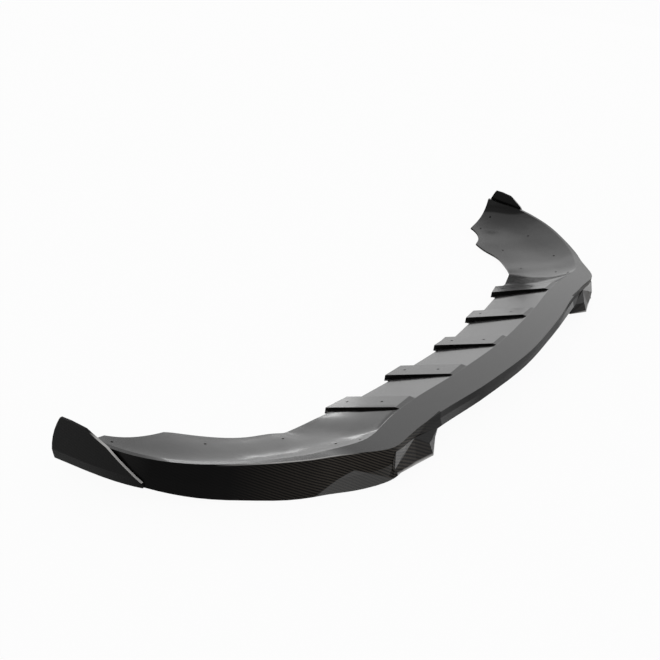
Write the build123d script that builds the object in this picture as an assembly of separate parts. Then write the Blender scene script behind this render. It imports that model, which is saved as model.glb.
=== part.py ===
from build123d import *
from build123d.topology import SkipClean
import math
import os

# Millimetres, +Z up. The lip lies as it would on a floor, nose toward -Y, and is the same on both sides of X = 0.

# Moulded skin
skin = 4.0
slice_count = 61

# Front flange and rim
rim_height = 88.0
rim_rise = 6.0

# Ribs on the deck
rib_pitch = 207.0
rib_width = 60.0
rib_lift_rear = 10.0
rib_step_front = 11.0
rib_overlap = 4.0
rib_sink = 0.3

# Screw holes
screw_hole = 5.5
rib_hole_rear = 27.0
rib_hole_gap = 76.0
patch_side = 24.0

# End fins
fin_thickness = 5.0
fin_tip_height = 124.0
fin_fold_height = 53.0
fin_foot_height = 33.0

# Feet under the front corners
foot_height = 30.0
foot_thickness = 5.0

# Rear edge of the deck, in plan
deck_edge_centre = 26.6
deck_edge_rib = 43.2
deck_edge_outer = 67.7
recess_corner = 30.0
outer_rib_skew = 5.5
inner_recess_inset = 16.5
outer_recess_inset = 22.0
wing_root_x = 578.0
wing_root_y = 84.0
wing_tip_x = 730.0
wing_tip_y = 256.5
wing_end_x = 824.0
wing_end_y = 318.5


class Station:
    """One slice of the lip, from the outer rim inward and back to the rear edge."""

    def __init__(self, rim, inner, flange, inner_height, hollow, wall, rise=0.0):
        knee, dent, foot, tuck = wall
        self.sizes = [*rim, *inner, flange, inner_height, hollow, knee, dent, foot, tuck, rim_height + rise]

    def mirrored(self):
        """The same sizes on the other side of the lip."""
        twin = list(self.sizes)
        twin[0] = -twin[0]
        twin[2] = -twin[2]
        return twin


def slice_wire(sizes):
    """Closed outline of the moulded skin in one slice."""
    rim_x, rim_y, inner_x, inner_y, flange, inner_height, hollow, knee, dent, foot, tuck, top = sizes
    run = math.hypot(inner_x - rim_x, inner_y - rim_y)
    along_x = (inner_x - rim_x) / run
    along_y = (inner_y - rim_y) / run
    drop = skin * 1.1

    def at(distance, height):
        return Vector(rim_x + along_x * distance, rim_y + along_y * distance, height)

    def surface(lower):
        shares = ((0.0, 0.0), (0.25, 0.25 + hollow), (0.65, 0.65 + hollow / 2), (1.0, 1.0))
        fall = top - inner_height
        return [at(flange + (run - flange) * far, top - fall * down - lower) for far, down in shares]

    upper = surface(0.0)
    under = surface(drop)
    wall = [
        under[0],
        at(skin, top - drop),
        at(skin + dent, knee),
        at(skin + tuck, foot),
        at(tuck, foot),
        at(dent, knee),
        at(0.0, top),
        upper[0],
    ]
    edges = [Edge.make_line(upper[3], under[3])]
    edges.append(Edge.make_spline(list(reversed(under))))
    for start, end in zip(wall[:-1], wall[1:]):
        edges.append(Edge.make_line(start, end))
    edges.append(Edge.make_spline(upper))
    return Wire(edges)


def smooth_value(column, gaps, span, share):
    """Value between two rows on a smooth curve that never overshoots the rows."""
    rates = [(b - a) / gap for a, b, gap in zip(column[:-1], column[1:], gaps)]

    def slope(index):
        if index == 0:
            return rates[0]
        if index == len(rates):
            return rates[-1]
        before = rates[index - 1]
        after = rates[index]
        if before * after <= 0.0:
            return 0.0
        wide = 2 * gaps[index] + gaps[index - 1]
        narrow = gaps[index] + 2 * gaps[index - 1]
        return (wide + narrow) / (wide / before + narrow / after)

    cube = share**3
    square = share**2
    value = (2 * cube - 3 * square + 1) * column[span] + (3 * square - 2 * cube) * column[span + 1]
    value += (cube - 2 * square + share) * gaps[span] * slope(span)
    value += (cube - square) * gaps[span] * slope(span + 1)
    return value


def even_slices(rows, count):
    """Slice sizes at evenly spaced places along the lip."""
    place = [0.0]
    for one, two in zip(rows[:-1], rows[1:]):
        outer = math.dist(one[:2], two[:2])
        inner = math.dist(one[2:4], two[2:4])
        place.append(place[-1] + 0.6 * outer + 0.4 * inner)
    gaps = [b - a for a, b in zip(place[:-1], place[1:])]
    slices = []
    for number in range(count):
        here = place[-1] * number / (count - 1)
        span = max(i for i, start in enumerate(place[:-1]) if start <= here + 1e-9)
        share = (here - place[span]) / gaps[span]
        slices.append([smooth_value(column, gaps, span, share) for column in zip(*rows)])
    return slices


stations = [
    # centre line
    Station((0.0, -189.0), (0.0, 45.0), 70.0, 13.0, 0.0, (68.0, 0.5, 48.0, 3.0)),
    # second rib
    Station((210.0, -177.0), (210.0, 62.0), 68.0, 8.5, 0.0, (70.0, 0.0, 52.0, 0.0)),
    # outer rib
    Station((414.0, -153.0), (414.0, 85.0), 63.0, 6.0, 0.0, (74.0, -2.0, 60.0, -8.0)),
    # recess beside the outer rib
    Station((490.0, -148.5), (490.0, 97.0), 58.0, 10.0, 0.05, (68.0, -2.0, 52.0, -8.0)),
    # front corner
    Station((560.0, -149.0), (539.0, 98.0), 53.0, 10.5, 0.13, (58.0, -3.0, 31.0, -14.0)),
    Station((602.0, -133.0), (575.0, 97.0), 42.0, 12.0, 0.12, (43.0, 1.0, 14.0, -5.0)),
    # wing
    Station((648.0, -96.0), (587.0, 118.0), 24.0, 11.0, 0.15, (34.0, 4.0, 3.0, 1.0)),
    Station((716.0, -51.0), (632.0, 146.0), 14.0, 10.0, 0.18, (20.0, 1.0, 3.0, 1.0)),
    Station((799.0, 18.0), (692.0, 228.0), 9.0, 7.0, 0.23, (40.0, 0.5, 10.0, 2.0), rim_rise * 0.1),
    Station((860.0, 79.0), (712.0, 262.0), 9.0, 8.0, 0.24, (48.0, 0.5, 19.0, 2.0), rim_rise * 0.3),
    Station((905.0, 145.0), (730.0, 285.0), 9.0, 8.0, 0.28, (56.0, 0.5, 30.0, 2.0), rim_rise * 0.6),
    # wing rear, behind the fin
    Station((926.0, 200.0), (750.0, 310.0), 9.0, 8.0, 0.33, (60.0, 0.5, 36.0, 2.0), rim_rise),
    Station((934.0, 262.0), (770.0, 335.0), 9.0, 8.0, 0.34, (60.0, 0.5, 36.0, 2.0), rim_rise),
    Station((939.0, 335.0), (800.0, 352.0), 9.0, 9.0, 0.34, (60.0, 0.5, 36.0, 2.0), rim_rise),
]

rows = [station.mirrored() for station in reversed(stations[1:])] + [station.sizes for station in stations]
lip = Solid.make_loft([slice_wire(sizes) for sizes in reversed(even_slices(rows, slice_count))], False)


def both_sides(shape):
    return [shape, mirror(shape, Plane.YZ)]


def deck_edge(x):
    """Distance back to the rear ends of the ribs."""
    bend = (deck_edge_outer - 2 * deck_edge_rib + deck_edge_centre) / (2 * rib_pitch**2)
    climb = (deck_edge_rib - deck_edge_centre) / rib_pitch - bend * rib_pitch
    return deck_edge_centre + climb * abs(x) + bend * x**2


def deck_row(x):
    """Slice sizes of the deck at a rib."""
    ends = [station.sizes for station in stations[:3]]
    index = min(int(abs(x) / rib_pitch), 1)
    one = ends[index]
    two = ends[index + 1]
    share = (abs(x) - one[0]) / (two[0] - one[0])
    return [a + (b - a) * share for a, b in zip(one, two)]


def rib_line(x):
    """Rear and front ends of a rib's top, as (y, z) pairs."""
    rim_x, rim_y, inner_x, inner_y, flange, inner_height, *others = deck_row(x)
    crease = rim_y + flange
    pitch = (rim_height - inner_height) / (inner_y - crease)
    rear = deck_edge(x)
    floor_height = inner_height + (inner_y - rear) * pitch
    return (rear, floor_height + rib_lift_rear), (crease + rib_step_front, rim_height - rib_sink)


def rib_wedge(x, width, lower, depth):
    """Sloping bar under the line of a rib's top."""
    (rear_y, rear_z), (front_y, front_z) = rib_line(x)
    climb = (front_z - rear_z) / (front_y - rear_y)
    tail = 20.0
    top_rear = (rear_y + tail, rear_z + climb * tail - lower)
    top_front = (front_y, front_z - lower)
    nose_y = front_y - rib_step_front - rib_overlap
    outline = [top_rear, top_front, (nose_y, front_z - lower), (nose_y, front_z - lower - depth)]
    outline.append((rear_y + tail, rear_z + climb * tail - lower - depth))
    side = make_face(Polyline(*[(x - width / 2, y, z) for y, z in outline], close=True))
    return extrude(side, width, dir=(1, 0, 0))


# Ribs: hat sections along Y, level with the flange at the front and lifted off the deck at the rear
rib_places = [number * rib_pitch for number in range(-2, 3)]
lip = lip + [rib_wedge(x, rib_width, 0.0, rib_lift_rear + skin) for x in rib_places]
lip = lip - [rib_wedge(x, rib_width - 2 * skin, skin * 1.1, 30.0) for x in rib_places]


def rounded_step(start, end):
    """Quarter curve of a recess corner, leaving the rib along Y and meeting the recess edge along X."""
    low_y = min(start[1], end[1])
    middle_x = 0.5 * (start[0] + end[0])
    corner_x = start[0] if start[1] > end[1] else end[0]
    middle = (0.4 * corner_x + 0.6 * middle_x, low_y + 0.3 * abs(start[1] - end[1]))
    return Edge.make_three_point_arc(start, middle, end)


def recess_edges(left, right, inset, skew):
    """Rear edge of the deck from the side of one rib to the side of the next."""
    near_rib = (left, deck_edge(left))
    near_end = (left + recess_corner, deck_edge(left + recess_corner) - inset)
    far_end = (right - recess_corner, deck_edge(right - recess_corner) - inset)
    far_rib = (right, deck_edge(right) - skew)
    return [rounded_step(near_rib, near_end), Edge.make_line(near_end, far_end), rounded_step(far_end, far_rib)]


# Rear edge: everything behind this outline is cut away
half_rib = rib_width / 2
outline = [Edge.make_line((0.0, deck_edge_centre), (half_rib, deck_edge(half_rib)))]
outline += recess_edges(half_rib, rib_pitch - half_rib, inner_recess_inset, 0.0)
outline.append(Edge.make_line(outline[-1] @ 1, (rib_pitch + half_rib, deck_edge(rib_pitch + half_rib))))
outline += recess_edges(rib_pitch + half_rib, 2 * rib_pitch - half_rib, outer_recess_inset, outer_rib_skew)
rib_end_x = 2 * rib_pitch + half_rib
rib_end = (rib_end_x, deck_edge(rib_end_x))
outline.append(Edge.make_line(outline[-1] @ 1, rib_end))
recess_start = (rib_end_x + recess_corner, deck_edge(rib_end_x) - outer_recess_inset + 6.0)
outline.append(rounded_step(rib_end, recess_start))
outline.append(Edge.make_line(recess_start, (wing_root_x, wing_root_y)))
wing_points = [(wing_root_x, wing_root_y), (617.0, 113.0), (662.0, 151.0), (707.0, 224.0), (wing_tip_x, wing_tip_y)]
outline.append(Edge.make_spline([Vector(*point) for point in wing_points]))
outline.append(Edge.make_three_point_arc((wing_tip_x, wing_tip_y), (783.0, 274.0), (wing_end_x, wing_end_y)))
behind = [(wing_end_x, wing_end_y), (960.0, 321.0), (960.0, 400.0), (0.0, 400.0), (0.0, deck_edge_centre)]
outline += Polyline(*behind).edges()
waste = extrude(Face(Wire(outline)), 160.0, dir=(0, 0, 1)).moved(Location((0, 0, -20.0)))
lip = lip - both_sides(waste)

# Fins: folded panels that leave the wing's outer wall at their foot
fin_rows = [
    (fin_foot_height - 8.0, [(903.0, 134.0), (926.0, 197.0), (935.0, 250.0), (940.0, 292.0), (945.0, 334.0)]),
    (fin_fold_height, [(907.0, 134.0), (931.0, 197.0), (942.0, 250.0), (947.0, 292.0), (951.0, 334.0)]),
    (fin_tip_height + 8.0, [(912.0, 134.0), (937.0, 197.0), (945.5, 250.0), (949.5, 292.0), (953.0, 334.0)]),
]


def fin_strip(height, points):
    """Closed outline of the fin's panel at one height."""
    outer = Edge.make_spline([Vector(x, y, height) for x, y in points])
    inner = Edge.make_spline([Vector(x - fin_thickness, y, height) for x, y in reversed(points)])
    return Wire([outer, Edge.make_line(outer @ 1, inner @ 0), inner, Edge.make_line(inner @ 1, outer @ 0)])


panel = Solid.make_loft([fin_strip(height, points) for height, points in fin_rows], True)
lead = Polyline((150.0, fin_foot_height), (152.0, 43.0), (212.0, 100.0), (236.0, 113.0), (253.0, 121.5))
crown = Polyline((253.0, 121.5), (284.0, fin_tip_height + 0.5), (305.0, fin_tip_height))
trail = Spline((305.0, fin_tip_height), (318.0, 92.0), (323.0, 62.0), (321.0, fin_foot_height))
sole = Line((321.0, fin_foot_height), (150.0, fin_foot_height))
fin_outline = Face(Wire([*lead.edges(), *crown.edges(), trail.edge(), sole.edge()]))
fin_side = extrude(Plane.YZ * fin_outline, 200.0, dir=(1, 0, 0)).moved(Location((820.0, 0, 0)))
lip = lip + both_sides(panel & fin_side)

# Feet: faceted skins hanging in front of the wall at the front corners
wall_inner = (494.0, -150.5, 73.0)
wall_outer = (568.0, -149.5, 76.5)
shoulder = (575.0, -156.5, 44.5)
outer_toe = (576.0, -157.0, foot_height - 1.0)
valley_toe = (510.0, -170.5, foot_height)
front_toe = (460.0, -182.0, foot_height + 1.0)
brow = (462.0, -170.0, 54.0)
nose_end = (408.0, -160.0, 61.0)
inner_toe = (402.0, -156.5, foot_height + 4.5)
facets = [
    (wall_inner, wall_outer, shoulder),
    (wall_inner, shoulder, valley_toe),
    (shoulder, outer_toe, valley_toe),
    (wall_inner, valley_toe, brow),
    (valley_toe, front_toe, brow),
    (brow, front_toe, inner_toe),
    (brow, inner_toe, nose_end),
    (wall_inner, brow, nose_end),
]
plates = []
for corners in facets:
    plates.append(extrude(make_face(Polyline(*corners, close=True)), foot_thickness, dir=(0, 1, 0)))
lip = lip + both_sides(plates[0] + plates[1:])

# Screw holes: two through each rib, the rest through the deck and the wings
rib_holes = []
for number in range(0, 3):
    rear_y = deck_edge(number * rib_pitch) - rib_hole_rear
    rib_holes.append((number * rib_pitch, rear_y))
    rib_holes.append((number * rib_pitch, rear_y - rib_hole_gap))
skin_holes = [(372.0, -20.0), (577.0, -78.0), (597.0, -40.0), (611.7, 64.5), (720.4, 165.4)]
skin_holes += [(713.9, 9.2), (829.8, 134.1), (835.0, 290.0), (898.0, 290.0)]
drills = []
for hole_x, hole_y in rib_holes + skin_holes:
    drill = Cylinder(screw_hole / 2, 200.0).moved(Location((hole_x, hole_y, 60.0)))
    drills += both_sides(drill) if hole_x > 0.0 else [drill]
lip = lip - drills

# Each hole away from the ribs sits in a small square patch of the skin, so that its fine facets stay local
patches = []
for hole_x, hole_y in skin_holes:
    patches += both_sides(Box(patch_side, patch_side, 200.0).moved(Location((hole_x, hole_y, 60.0))))
with SkipClean():
    whole = lip.solid()
    around = whole.cut(*[patch.solid() for patch in patches])
    inside = []
    for patch in patches:
        inside += (whole & patch).solids()
    lip = around.fuse(*inside)

# The frame's origin is the middle of the footprint, on the floor
box = lip.bounding_box()
lip = lip.moved(Location((0, -(box.min.Y + box.max.Y) / 2, -box.min.Z)))

os.makedirs("parts", exist_ok=True)
export_step(lip, "parts/splitter_lip.step")
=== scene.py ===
import math

import bpy
from mathutils import Matrix, Vector

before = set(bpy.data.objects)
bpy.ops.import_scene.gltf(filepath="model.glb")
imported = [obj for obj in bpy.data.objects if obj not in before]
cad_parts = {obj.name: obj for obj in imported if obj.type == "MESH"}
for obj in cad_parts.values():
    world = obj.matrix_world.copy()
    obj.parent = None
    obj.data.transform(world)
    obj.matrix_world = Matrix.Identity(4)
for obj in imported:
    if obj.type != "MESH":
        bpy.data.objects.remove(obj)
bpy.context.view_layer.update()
scene = bpy.context.scene
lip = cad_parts["splitter_lip"]


class Nodes:
    """Short way to write a node tree."""

    def __init__(self, tree):
        self.tree = tree
        self.measures = {}

    def add(self, kind, **settings):
        node = self.tree.nodes.new(kind)
        for name, value in settings.items():
            setattr(node, name, value)
        return node

    def link(self, source, target):
        self.tree.links.new(source, target)

    def feed(self, socket, value):
        """Gives a socket its constant, or links another socket to it."""
        if isinstance(value, (int, float, tuple)):
            socket.default_value = value
        else:
            self.link(value, socket)

    def fill(self, node, sockets):
        """Feeds a node's sockets by name."""
        for name, value in sockets.items():
            self.feed(node.inputs[name], value)

    def split(self, vector):
        node = self.add("ShaderNodeSeparateXYZ")
        self.link(vector, node.inputs[0])
        return node.outputs

    def math(self, operation, *values):
        node = self.add("ShaderNodeMath", operation=operation)
        for socket, value in zip(node.inputs, values):
            self.feed(socket, value)
        return node.outputs[0]

    def plus(self, first, second):
        return self.math("ADD", first, second)

    def minus(self, first, second):
        return self.math("SUBTRACT", first, second)

    def times(self, *factors):
        """Product of numbers. Of masks, it is 1 where every mask is 1."""
        result = factors[0]
        for factor in factors[1:]:
            result = self.math("MULTIPLY", result, factor)
        return result

    def most(self, *values):
        """Largest of some numbers."""
        result = values[0]
        for value in values[1:]:
            result = self.math("MAXIMUM", result, value)
        return result

    def mix(self, factor, first, second):
        """Number between two numbers."""
        node = self.add("ShaderNodeMix", data_type="FLOAT")
        for socket, value in zip(node.inputs[:1] + node.inputs[2:4], (factor, first, second)):
            self.feed(socket, value)
        return node.outputs[0]

    def mix_colour(self, factor, first, second):
        """Colour between two colours."""
        node = self.add("ShaderNodeMix", data_type="RGBA")
        for socket, value in zip(node.inputs[:1] + node.inputs[6:8], (factor, first, second)):
            self.feed(socket, value)
        return node.outputs[2]

    def lessened(self, mask, share):
        """1, or a share of it where the mask is 1."""
        return self.mix(mask, 1.0, share)

    def ramp(self, value, edge, ends):
        """Number that goes from one end to the other while the value crosses an edge."""
        node = self.add("ShaderNodeMapRange")
        self.link(value, node.inputs["Value"])
        for name, number in zip(("From Min", "From Max", "To Min", "To Max"), edge + ends):
            node.inputs[name].default_value = number
        return node.outputs[0]

    def under_line(self, across, height, line, soft):
        """1 where the height is under a line, given as a point on it and its slope."""
        (start, level), slope = line
        line_height = self.plus(self.times(self.minus(across, start), slope), level)
        return self.ramp(self.minus(line_height, height), (-soft, soft), (0.0, 1.0))

    def patch(self, *masks, **edges):
        """1 where every mask is 1 and the place is inside the edges.

        An edge is named after its measure and the side that it bounds, such as across_from.
        A number cuts hard, and a pair fades between its two values.
        """
        masks = list(masks)
        for name, edge in edges.items():
            measure, side = name.rsplit("_", 1)
            value = self.measures[measure]
            if isinstance(edge, tuple):
                ends = (0.0, 1.0) if side == "from" else (1.0, 0.0)
                masks.append(self.ramp(value, edge, ends))
            else:
                test = "GREATER_THAN" if side == "from" else "LESS_THAN"
                masks.append(self.math(test, value, edge))
        return self.times(*masks)


def new_material(name):
    material = bpy.data.materials.new(name)
    material.use_nodes = True
    material.node_tree.nodes.clear()
    return material, Nodes(material.node_tree)


# Clear-coated twill laminate
laminate, n = new_material("laminate")
object_place = n.add("ShaderNodeTexCoord").outputs["Object"]
normal = n.add("ShaderNodeNewGeometry").outputs["Normal"]
x, y, z = n.split(object_place)
normal_x, normal_y, up = n.split(normal)
side_x = n.math("ABSOLUTE", x)
# What patches are bounded by: metres from the middle, towards the rear and above the floor, and
# parts of the normal
n.measures = {
    "across": side_x,
    "back": y,
    "height": z,
    "facing_up": up,
    "facing_back": normal_y,
}
# Faces whose normal has more than this upward count as tops
top_facing = 0.6

# Twill: two tows over, two under, on the tops and along the walls
tow = 0.0019
ridge_angle = math.radians(25.0)
ridge_cos, ridge_sin = math.cos(ridge_angle), math.sin(ridge_angle)
diagonal = 0.7071
tows_per_metre = diagonal / tow
twill_repeat = 4.0
twill_over = 1.5
wall_run_x, wall_run_y = 0.8, 0.6

wall_run = n.plus(n.times(side_x, wall_run_x), n.times(y, wall_run_y))
flat = n.math("GREATER_THAN", n.math("ABSOLUTE", up), top_facing)
cloth_u = n.mix(flat, wall_run, side_x)
cloth_v = n.mix(flat, z, y)
across_ridge = n.minus(n.times(cloth_v, ridge_cos), n.times(cloth_u, ridge_sin))
along_ridge = n.plus(n.times(cloth_v, ridge_sin), n.times(cloth_u, ridge_cos))
warp = n.times(n.plus(along_ridge, across_ridge), tows_per_metre)
weft = n.times(n.minus(along_ridge, across_ridge), tows_per_metre)
tow_steps = n.minus(n.math("FLOOR", warp), n.math("FLOOR", weft))
over = n.math("LESS_THAN", n.math("FLOORED_MODULO", tow_steps, twill_repeat), twill_over)
crown_warp = n.math("SINE", n.times(n.math("FRACT", weft), math.pi))
crown_weft = n.math("SINE", n.times(n.math("FRACT", warp), math.pi))
crown = n.mix(over, crown_weft, crown_warp)
cloud = n.add("ShaderNodeTexNoise")
n.fill(cloud, {"Vector": object_place, "Scale": 9.0, "Detail": 3.0})
bump = n.add("ShaderNodeBump")
n.fill(bump, {"Strength": 0.25, "Distance": 0.0004, "Height": crown})

# Places painted with light or shade: the front corners' walls, where the weave is painted
# stronger as a sheen;
# the fins and the feet, whose coat is lessened as painted shade; a low band and a facet, whose
# coat is raised as a painted reflection; and some edges, painted pale as a painted highlight.
# Lines are points (across, height) with a slope, but facet_end has (height, across).
low_band_top = ((0.573, 0.022), 0.383)
low_band_end = ((0.636, 0.045), -0.77)
low_band_soft = 0.001
facet_top = ((0.494, 0.070), 0.047)
facet_end = ((0.0735, 0.568), -0.22)
facet_bottom = ((0.575, 0.0415), -0.352)
facet_soft = 0.0006

corner = n.patch(across_from=(0.42, 0.54), across_to=(0.66, 0.82), facing_up_to=(0.45, 0.7))
fin = n.patch(across_from=(0.9, 0.925))
foot = n.patch(across_from=0.395, across_to=0.6, back_to=-0.2175)
outward = n.patch(facing_up_to=0.45, facing_up_from=-0.3)
# The low band's coat is raised to full further down, a painted reflection, and its weave shows
# weaker
low_band = n.patch(
    outward,
    n.under_line(side_x, z, low_band_top, low_band_soft),
    n.under_line(side_x, z, low_band_end, low_band_soft),
    across_from=0.565,
)
# This facet's coat is raised to full further down: a painted reflection
painted_reflection_facet = n.patch(
    outward,
    n.under_line(side_x, z, facet_top, facet_soft),
    n.under_line(z, side_x, facet_end, facet_soft),
    n.minus(1.0, n.under_line(side_x, z, facet_bottom, facet_soft)),
    back_to=-0.212,
)
# Pale lines on the fins' leading edges, the feet's bottom edges and the top of the wings' rim
# walls are a painted highlight
fin_edge = n.patch(
    across_from=0.89,
    facing_back_to=-0.4,
    facing_up_from=0.4,
    back_to=(0.165, 0.178),
)
foot_edge = n.patch(foot, across_to=0.566, height_from=0.0245, height_to=(0.0285, 0.033))
rim_edge = n.patch(
    outward,
    across_from=(0.63, 0.67),
    across_to=(0.76, 0.84),
    height_from=(0.0824, 0.0828),
)
painted_highlight_edge = n.most(fin_edge, foot_edge, rim_edge)

# The weave is the laminate's own; how strongly it shows is set by place: most on the corners'
# walls, as a painted sheen where it catches the light, and less in the low band
resin_colour = (0.001, 0.001, 0.0011, 1.0)
thread_colour = (0.047, 0.04, 0.033, 1.0)
# The pale colour is a painted highlight on edges
painted_highlight_colour = (0.55, 0.54, 0.53, 1.0)
cloth_in_general, weave_sheen_on_corner, cloth_on_fin = 0.04, 1.0, 0.05
cloud_thin, cloud_thick = 0.4, 1.6

cloth = n.mix(fin, n.mix(corner, cloth_in_general, weave_sheen_on_corner), cloth_on_fin)
cloth = n.times(cloth, n.lessened(low_band, share=0.6))
shade = n.times(over, n.mix(cloud.outputs["Fac"], cloud_thin, cloud_thick))
tint = n.mix_colour(n.times(shade, cloth), resin_colour, thread_colour)

# The coat's weight is set by place and facing, as painted reflection and painted shade: it shines
# fully on tops, and on the low band and a facet as a painted reflection; it is less on upright
# walls, on the feet, beside and on top of the fins, at the deck's ends and on the wings outside
# their bed, as painted shade
deck_end = (0.445, 0.455)
fin_wall_coat_shade = 0.14

wing_bed = n.patch(
    across_from=(0.72, 0.8),
    height_to=(0.035, 0.065),
    facing_up_from=top_facing,
)
fin_wall = n.patch(fin, outward)
beside_fin = n.patch(
    back_from=(0.1, 0.115),
    across_from=(0.91, 0.914),
    facing_up_from=(0.2, 0.4),
    facing_up_to=(0.75, 0.9),
    height_to=0.0935,
)
floor_end = n.patch(
    across_from=(0.465, 0.485),
    across_to=(0.545, 0.565),
    back_from=(-0.1, -0.085),
)
floor_rear = n.patch(across_from=deck_end, across_to=(0.56, 0.6), height_to=(0.022, 0.034))
crease_line = n.patch(
    across_from=deck_end,
    across_to=(0.52, 0.54),
    height_from=(0.078, 0.081),
    facing_up_to=(0.98, 0.995),
)
coat_shade_by_facing = n.ramp(up, edge=(0.04, 0.5), ends=(0.02, 1.0))
fin_top_coat_shade = n.ramp(z, edge=(0.1, 0.103), ends=(1.0, 0.15))
wing_coat_shade = n.ramp(side_x, edge=(0.58, 0.7), ends=(1.0, 0.84))
coat_with_painted_light = n.times(
    coat_shade_by_facing,
    n.lessened(beside_fin, share=0.3),
    fin_top_coat_shade,
    n.lessened(floor_end, share=0.88),
    n.lessened(floor_rear, share=0.7),
    n.lessened(crease_line, share=0.55),
    n.mix(wing_bed, wing_coat_shade, 1.0),
    n.lessened(foot, share=0.3),
)
coat_with_painted_light = n.most(coat_with_painted_light, painted_reflection_facet, low_band, n.times(fin_wall, fin_wall_coat_shade))

# The coat's normal stands in for finer curvature. On the flat strip along the wing's rim it leans
# inward, in a direction that goes round with the rim. It is flattened along the crease beside the
# deck's ends, where the wing turns up steeply, and at the wing's rear edge. On the wing's bed it
# leans a little forward, and at the deck's ends a little back.
crease_flattening = -0.7
wing_flattening = -0.42
rear_flattening = -0.35
bed_lean = -0.26
floor_lean = 0.08

beside_flange = n.most(n.patch(height_to=0.0838), n.patch(across_from=(0.635, 0.675)))
rising = n.patch(beside_flange, height_from=(0.045, 0.08), facing_up_from=top_facing)
wing_rise = n.patch(rising, across_from=(0.55, 0.6))
crease = n.patch(
    rising,
    n.ramp(side_x, edge=(0.525, 0.55), ends=(crease_flattening, 0.0)),
    across_from=(0.43, 0.45),
    facing_up_to=(0.94, 0.99),
)
steep_wing = n.times(wing_rise, n.ramp(up, edge=(0.9, 0.96), ends=(wing_flattening, 0.0)))
rear_edge = n.patch(
    across_from=(0.57, 0.6),
    height_to=(0.014, 0.02),
    facing_up_from=top_facing,
)
flatten = n.plus(n.plus(crease, steep_wing), n.times(rear_edge, rear_flattening))
turn_in = n.patch(
    wing_rise,
    n.ramp(side_x, edge=(0.68, 0.9), ends=(0.38, 0.3)),
    across_to=(0.885, 0.908),
    facing_up_from=(0.9, 0.97),
)
inward = n.ramp(side_x, edge=(0.62, 0.94), ends=(1.7, 2.6))
lean_x = n.times(n.math("SIGN", x), n.math("COSINE", inward), turn_in)
lean_along = n.plus(n.times(wing_bed, bed_lean), n.times(floor_end, floor_lean))
lean_y = n.plus(n.times(n.math("SINE", inward), turn_in), lean_along)
lean = n.add("ShaderNodeCombineXYZ")
n.link(n.plus(lean_x, n.times(normal_x, flatten)), lean.inputs[0])
n.link(n.plus(lean_y, n.times(normal_y, flatten)), lean.inputs[1])
tilted = n.add("ShaderNodeVectorMath", operation="ADD")
n.link(normal, tilted.inputs[0])
n.link(lean.outputs[0], tilted.inputs[1])
coat_normal = n.add("ShaderNodeVectorMath", operation="NORMALIZE")
n.link(tilted.outputs[0], coat_normal.inputs[0])

# The base colour carries the painted highlight of the edges; the coat weight carries painted
# reflection and painted shade
skin = n.add("ShaderNodeBsdfPrincipled")
n.fill(skin, {
    "Base Color": n.mix_colour(painted_highlight_edge, tint, painted_highlight_colour),
    "Roughness": 0.45,
    "IOR": 1.12,
    "Normal": bump.outputs[0],
    "Coat Weight": coat_with_painted_light,
    "Coat Roughness": 0.15,
    "Coat IOR": 1.5,
    "Coat Normal": coat_normal.outputs[0],
})
n.link(skin.outputs[0], n.add("ShaderNodeOutputMaterial").inputs[0])
for slot in lip.material_slots:
    slot.material = laminate


# Floor and world: white to the eye and in reflections, plain for the light they give
floor_size = 40.0
floor_drop = 0.0004
floor_glow = 0.95
sky_light, sky_seen = 0.6, 1.0


def seen_directly(nodes):
    """1 for camera, mirror and see-through rays, 0 for the rest."""
    path = nodes.add("ShaderNodeLightPath")
    kinds = ("Is Camera Ray", "Is Glossy Ray", "Is Transmission Ray")
    return nodes.most(*[path.outputs[kind] for kind in kinds])


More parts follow.
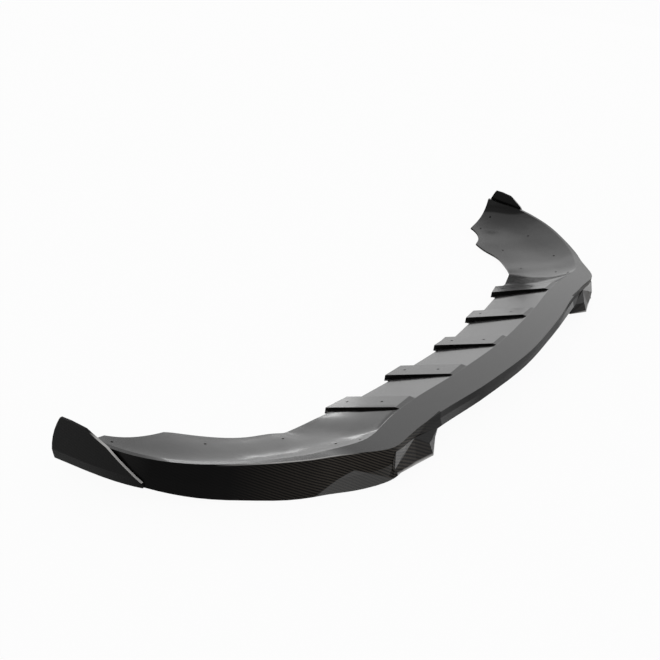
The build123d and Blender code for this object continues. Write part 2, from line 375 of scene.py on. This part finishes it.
bpy.ops.mesh.primitive_plane_add(size=floor_size, location=(0, 0, -floor_drop))
floor = bpy.context.object
floor.name = "floor"
white, n = new_material("floor_white")
paint = n.add("ShaderNodeBsdfDiffuse")
paint.inputs["Color"].default_value = (0.9, 0.9, 0.9, 1)
glow = n.add("ShaderNodeEmission")
glow.inputs["Strength"].default_value = 1.0
blend = n.add("ShaderNodeMixShader")
n.link(n.times(seen_directly(n), floor_glow), blend.inputs[0])
n.link(paint.outputs[0], blend.inputs[1])
n.link(glow.outputs[0], blend.inputs[2])
n.link(blend.outputs[0], n.add("ShaderNodeOutputMaterial").inputs[0])
floor.data.materials.append(white)

world = bpy.data.worlds.new("studio")
scene.world = world
world.use_nodes = True
world.node_tree.nodes.clear()
n = Nodes(world.node_tree)
sky = n.add("ShaderNodeBackground")
sky.inputs["Color"].default_value = (1, 1, 1, 1)
n.link(n.mix(seen_directly(n), sky_light, sky_seen), sky.inputs["Strength"])
n.link(sky.outputs[0], n.add("ShaderNodeOutputWorld").inputs[0])


def soft_panel(name, centre, target, width, height, radiance):
    """Adds a light panel that faces its target and that the camera doesn't see."""
    light = bpy.data.lights.new(name, "AREA")
    light.shape = "RECTANGLE"
    light.size = width
    light.size_y = height
    light.energy = radiance * math.pi * width * height
    panel = bpy.data.objects.new(name, light)
    scene.collection.objects.link(panel)
    panel.location = centre
    panel.rotation_euler = (Vector(target) - Vector(centre)).to_track_quat("-Z", "Y").to_euler()
    panel.visible_camera = False


soft_panel(
    "back_panel",
    centre=(5.2, 3.6, 3.2),
    target=(0.0, 0.0, 3.2),
    width=14.0,
    height=6.4,
    radiance=0.17,
)
soft_panel(
    "low_panel",
    centre=(4.2, 4.7, 0.18),
    target=(0.0, 0.0, 0.18),
    width=2.0,
    height=0.32,
    radiance=3.4,
)

# Camera as in the photograph
eye = Vector((-2.0098, -0.80828, 1.05102))
camera_right = Vector((0.52027, -0.84349, 0.13359))
camera_up = Vector((0.31230, 0.33352, 0.88951))
camera_back = Vector((-0.79485, -0.42106, 0.43694))
camera_data = bpy.data.cameras.new("camera")
camera_data.sensor_width = 36.0
camera_data.sensor_fit = "HORIZONTAL"
camera_data.lens = 54.63
camera_data.clip_start = 0.01
camera = bpy.data.objects.new("camera", camera_data)
scene.collection.objects.link(camera)
turn = Matrix((camera_right, camera_up, camera_back)).transposed()
camera.matrix_world = Matrix.Translation(eye) @ turn.to_4x4()
scene.camera = camera

scene.view_settings.view_transform = "Standard"
